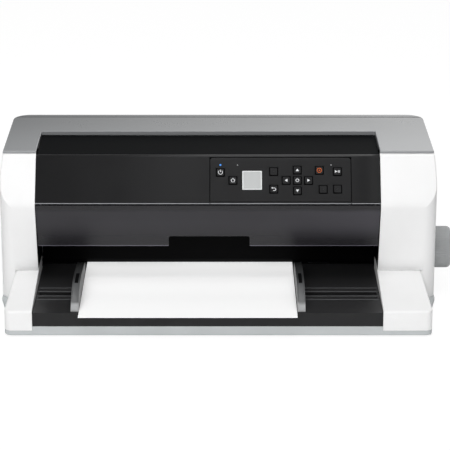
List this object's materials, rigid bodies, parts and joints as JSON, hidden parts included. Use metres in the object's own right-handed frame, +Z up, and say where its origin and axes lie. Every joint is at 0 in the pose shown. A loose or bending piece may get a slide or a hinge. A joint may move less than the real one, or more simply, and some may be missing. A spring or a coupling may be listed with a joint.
{
  "type": "dot matrix printer",
  "caption": "Wide flatbed impact printer: white and grey case, black slanted key panel, smoke front cover, top lid, sheet tray with edge guides, and a side feed knob.",
  "frame": {"origin": "bottom centre of the whole part's bounding box, on the table under the feet", "axes": "+X to the right seen from the front (longest extent), +Y from the front to the back, +Z up (shortest extent)"},
  "size_m": [0.6422, 0.422, 0.215],
  "materials": {
    "grey_plastic": "fine spark texture, satin",
    "white_plastic": "fine spark texture, satin",
    "black_plastic": "fine grained, satin",
    "panel_black": "smooth, semi-gloss",
    "smoke_plastic": "smoke tinted, glossy",
    "display_glass": "pale grey, unlit",
    "guide_grey": "fine grained",
    "paper": "plain white paper, matt",
    "knob_grey": "fine grained, satin",
    "key_black": "satin",
    "foot_rubber": "matt",
    "sheet_steel": "zinc plated",
    "bright_steel": "ground and polished",
    "platen_steel": "blackened",
    "gear_plastic": "natural acetal",
    "pinion_brass": "machined",
    "motor_steel": "black, satin",
    "head_metal": "black anodised, cast",
    "pulley_alloy": "machined",
    "belt_rubber": "toothed, matt",
    "ribbon_blue": "satin",
    "board_green": "solder mask"
  },
  "bodies": {
    "root": {"lower_case": "grey_plastic", "side_panel_left": "white_plastic", "side_panel_right": "white_plastic", "top_frame": "grey_plastic", "rear_panel": "grey_plastic", "front_panel": "black_plastic", "control_panel": "panel_black", "display": "display_glass", "control_board": "board_green", "tray": "black_plastic", "arm_left": "white_plastic", "arm_right": "white_plastic", "rubber_feet": "foot_rubber", "case_screws": "bright_steel", "frame_plate_left": "sheet_steel", "frame_plate_right": "sheet_steel", "base_plate": "sheet_steel", "guide_shaft": "bright_steel", "head_rail": "sheet_steel", "platen": "platen_steel", "lower_paper_guide": "black_plastic", "upper_paper_guide": "black_plastic", "feed_motor": "motor_steel", "carriage_motor": "motor_steel", "timing_belt": "belt_rubber", "ribbon_cartridge": "black_plastic", "main_board": "board_green", "power_supply": "sheet_steel", "power_inlet": "black_plastic"},
    "lid": {"top_lid": "black_plastic"},
    "cover": {"front_cover": "smoke_plastic"},
    "guide_left": {"edge_guide_left": "guide_grey"},
    "guide_right": {"edge_guide_right": "guide_grey"},
    "paper": {"sheet": "paper"},
    "knob": {"knob": "knob_grey", "knob_gear": "bright_steel"},
    "front_roller": {"front_roller": "bright_steel"},
    "rear_roller": {"rear_roller": "bright_steel"},
    "front_pinch": {"front_pinch_roller": "bright_steel"},
    "rear_pinch": {"rear_pinch_roller": "bright_steel"},
    "idler": {"idler_gear": "gear_plastic"},
    "pinion": {"feed_pinion": "pinion_brass"},
    "carriage": {"carriage": "black_plastic", "print_head": "head_metal"},
    "drive_pulley": {"drive_pulley": "pulley_alloy"},
    "tension_pulley": {"tension_pulley": "pulley_alloy"},
    "ribbon_knob": {"ribbon_knob": "ribbon_blue"},
    "key_power": {"key_power": "key_black"},
    "key_home": {"key_home": "key_black"},
    "key_source": {"key_source": "key_black"},
    "key_back": {"key_back": "key_black"},
    "key_up": {"key_up": "key_black"},
    "key_ok": {"key_ok": "key_black"},
    "key_left": {"key_left": "key_black"},
    "key_right": {"key_right": "key_black"},
    "key_down": {"key_down": "key_black"},
    "key_cancel": {"key_cancel": "key_black"},
    "key_pause": {"key_pause": "key_black"},
    "key_eject": {"key_eject": "key_black"},
    "key_menu": {"key_menu": "key_black"}
  },
  "joints": [
    {"name": "lid_hinge", "type": "hinge", "parent": "root", "child": "lid", "pos_m": [-0.0139, 0.079, 0.2045], "axis": [-1, 0, 0], "range_deg": [0, 100]},
    {"name": "cover_hinge", "type": "hinge", "parent": "root", "child": "cover", "pos_m": [-0.0139, -0.0565, 0.1448], "axis": [-1, 0, 0], "range_deg": [0, 75]},
    {"name": "guide_left_slide", "type": "slide", "parent": "root", "child": "guide_left", "axis": [-1, 0, 0], "range_m": [0, 0.045]},
    {"name": "guide_right_slide", "type": "slide", "parent": "root", "child": "guide_right", "axis": [1, 0, 0], "range_m": [0, 0.09]},
    {"name": "sheet_pull", "type": "slide", "parent": "root", "child": "paper", "axis": [0, -1, 0], "range_m": [-0.15, 0.19]},
    {"name": "knob_turn", "type": "hinge", "parent": "root", "child": "knob", "pos_m": [0.2861, 0.022, 0.0595], "axis": [1, 0, 0], "continuous": true},
    {"name": "front_roller_turn", "type": "hinge", "parent": "root", "child": "front_roller", "pos_m": [-0.0139, 0.02637, 0.0278], "axis": [1, 0, 0], "continuous": true},
    {"name": "rear_roller_turn", "type": "hinge", "parent": "root", "child": "rear_roller", "pos_m": [-0.0139, 0.10637, 0.0278], "axis": [1, 0, 0], "continuous": true},
    {"name": "front_pinch_turn", "type": "hinge", "parent": "root", "child": "front_pinch", "pos_m": [-0.0139, 0.02637, 0.0419], "axis": [1, 0, 0], "continuous": true},
    {"name": "rear_pinch_turn", "type": "hinge", "parent": "root", "child": "rear_pinch", "pos_m": [-0.0139, 0.10637, 0.0419], "axis": [1, 0, 0], "continuous": true},
    {"name": "idler_turn", "type": "hinge", "parent": "root", "child": "idler", "pos_m": [0.2351, 0.06637, 0.0368], "axis": [1, 0, 0], "continuous": true},
    {"name": "pinion_turn", "type": "hinge", "parent": "root", "child": "pinion", "pos_m": [0.2351, 0.09253, 0.06296], "axis": [1, 0, 0], "continuous": true},
    {"name": "carriage_slide", "type": "slide", "parent": "root", "child": "carriage", "axis": [1, 0, 0], "range_m": [0, 0.34]},
    {"name": "drive_pulley_turn", "type": "hinge", "parent": "root", "child": "drive_pulley", "pos_m": [0.1933, 0.129, 0.096], "axis": [0, 0, 1], "continuous": true},
    {"name": "tension_pulley_turn", "type": "hinge", "parent": "root", "child": "tension_pulley", "pos_m": [-0.2504, 0.129, 0.096], "axis": [0, 0, 1], "continuous": true},
    {"name": "ribbon_knob_turn", "type": "hinge", "parent": "root", "child": "ribbon_knob", "pos_m": [-0.1699, 0.085, 0.15], "axis": [0, 0, 1], "continuous": true},
    {"name": "key_power_press", "type": "slide", "parent": "root", "child": "key_power", "axis": [0, 0.8341, -0.5516], "range_m": [0, 0.0012], "stiffness_N_per_m": 250},
    {"name": "key_home_press", "type": "slide", "parent": "root", "child": "key_home", "axis": [0, 0.8341, -0.5516], "range_m": [0, 0.0012], "stiffness_N_per_m": 250},
    {"name": "key_source_press", "type": "slide", "parent": "root", "child": "key_source", "axis": [0, 0.8341, -0.5516], "range_m": [0, 0.0012], "stiffness_N_per_m": 250},
    {"name": "key_back_press", "type": "slide", "parent": "root", "child": "key_back", "axis": [0, 0.8341, -0.5516], "range_m": [0, 0.0012], "stiffness_N_per_m": 250},
    {"name": "key_up_press", "type": "slide", "parent": "root", "child": "key_up", "axis": [0, 0.8341, -0.5516], "range_m": [0, 0.0012], "stiffness_N_per_m": 250},
    {"name": "key_ok_press", "type": "slide", "parent": "root", "child": "key_ok", "axis": [0, 0.8341, -0.5516], "range_m": [0, 0.0012], "stiffness_N_per_m": 250},
    {"name": "key_left_press", "type": "slide", "parent": "root", "child": "key_left", "axis": [0, 0.8341, -0.5516], "range_m": [0, 0.0012], "stiffness_N_per_m": 250},
    {"name": "key_right_press", "type": "slide", "parent": "root", "child": "key_right", "axis": [0, 0.8341, -0.5516], "range_m": [0, 0.0012], "stiffness_N_per_m": 250},
    {"name": "key_down_press", "type": "slide", "parent": "root", "child": "key_down", "axis": [0, 0.8341, -0.5516], "range_m": [0, 0.0012], "stiffness_N_per_m": 250},
    {"name": "key_cancel_press", "type": "slide", "parent": "root", "child": "key_cancel", "axis": [0, 0.8341, -0.5516], "range_m": [0, 0.0012], "stiffness_N_per_m": 250},
    {"name": "key_pause_press", "type": "slide", "parent": "root", "child": "key_pause", "axis": [0, 0.8341, -0.5516], "range_m": [0, 0.0012], "stiffness_N_per_m": 250},
    {"name": "key_eject_press", "type": "slide", "parent": "root", "child": "key_eject", "axis": [0, 0.8341, -0.5516], "range_m": [0, 0.0012], "stiffness_N_per_m": 250},
    {"name": "key_menu_press", "type": "slide", "parent": "root", "child": "key_menu", "axis": [0, 0.8341, -0.5516], "range_m": [0, 0.0012], "stiffness_N_per_m": 250}
  ],
  "couplings": [
    {"joint": "front_roller_turn", "follows": "knob_turn", "ratio": -1.4615},
    {"joint": "rear_roller_turn", "follows": "knob_turn", "ratio": -1.4615},
    {"joint": "idler_turn", "follows": "knob_turn", "ratio": 0.67857},
    {"joint": "pinion_turn", "follows": "knob_turn", "ratio": -2.1111},
    {"joint": "front_pinch_turn", "follows": "knob_turn", "ratio": 2.3385},
    {"joint": "rear_pinch_turn", "follows": "knob_turn", "ratio": 2.3385},
    {"joint": "drive_pulley_turn", "follows": "carriage_slide", "rad_per_m": 147.06},
    {"joint": "tension_pulley_turn", "follows": "carriage_slide", "rad_per_m": 147.06}
  ]
}
